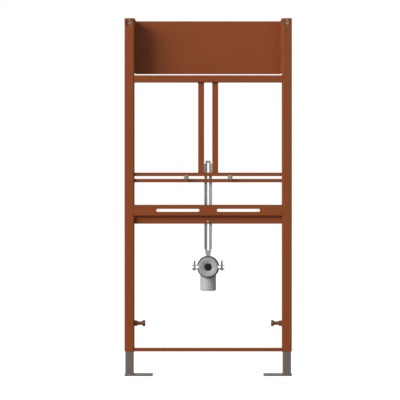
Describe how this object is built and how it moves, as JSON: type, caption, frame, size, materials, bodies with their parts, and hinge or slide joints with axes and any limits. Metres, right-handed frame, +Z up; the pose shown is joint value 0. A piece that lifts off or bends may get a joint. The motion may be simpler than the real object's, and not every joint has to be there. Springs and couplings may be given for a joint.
{
  "type": "urinal installation frame",
  "caption": "Painted steel installation frame for a wall-hung urinal, on adjustable feet, with a recessed top panel, fixing studs, slotted crossmember and a clamped waste elbow.",
  "frame": {"origin": "where the left upright's axis meets the floor, on the underside of the left foot plate", "axes": "+X from the left upright to the right one, +Y from the front towards the wall, +Z up"},
  "size_m": [0.525, 0.1481, 1.122],
  "materials": {
    "brown_paint": "satin red-brown powder coat on steel",
    "zinc_steel": "dull zinc plated steel",
    "dark_steel": "dark brown painted steel screw",
    "black_rubber": "matt black clamp lining",
    "grey_rubber": "matt grey seal",
    "grey_plastic": "smooth light grey polypropylene"
  },
  "bodies": {
    "feet": {"left_foot_tube": "zinc_steel", "left_foot_plate": "zinc_steel", "right_foot_tube": "zinc_steel", "right_foot_plate": "zinc_steel"},
    "frame": {"left_upright": "brown_paint", "right_upright": "brown_paint", "back_panel": "brown_paint", "top_rail": "brown_paint", "left_guide_bar": "brown_paint", "right_guide_bar": "brown_paint", "upper_fixing_rail": "brown_paint", "lower_fixing_rail": "brown_paint", "slotted_crossmember": "brown_paint", "bottom_rail": "brown_paint", "left_clamp_boss": "brown_paint", "right_clamp_boss": "brown_paint", "left_clamp_screw": "dark_steel", "right_clamp_screw": "dark_steel", "left_wall_rod": "zinc_steel", "right_wall_rod": "zinc_steel", "left_wall_sleeve": "zinc_steel", "right_wall_sleeve": "zinc_steel", "left_wall_nuts": "zinc_steel", "right_wall_nuts": "zinc_steel", "left_wall_plate": "zinc_steel", "right_wall_plate": "zinc_steel", "strap_screw": "zinc_steel", "strap_nut": "zinc_steel"},
    "waste": {"waste_strap": "zinc_steel", "upper_clamp_half": "zinc_steel", "lower_clamp_half": "zinc_steel", "clamp_lining": "black_rubber", "left_clamp_bolt": "zinc_steel", "right_clamp_bolt": "zinc_steel", "waste_elbow": "grey_plastic", "inlet_seal": "grey_rubber"},
    "left_stud_set": {"left_fixing_stud": "zinc_steel", "left_stud_nuts": "zinc_steel", "left_stud_washers": "zinc_steel"},
    "right_stud_set": {"right_fixing_stud": "zinc_steel", "right_stud_nuts": "zinc_steel", "right_stud_washers": "zinc_steel"}
  },
  "joints": [
    {"name": "height_adjustment", "type": "slide", "parent": "feet", "child": "frame", "axis": [0, 0, 1], "range_m": [-0.065, 0.125]},
    {"name": "waste_height", "type": "slide", "parent": "frame", "child": "waste", "axis": [0, 0, 1], "range_m": [-0.06, 0.085]},
    {"name": "left_stud_slide", "type": "slide", "parent": "frame", "child": "left_stud_set", "axis": [-1, 0, 0], "range_m": [-0.039, 0.145]},
    {"name": "right_stud_slide", "type": "slide", "parent": "frame", "child": "right_stud_set", "axis": [1, 0, 0], "range_m": [-0.039, 0.145]}
  ]
}
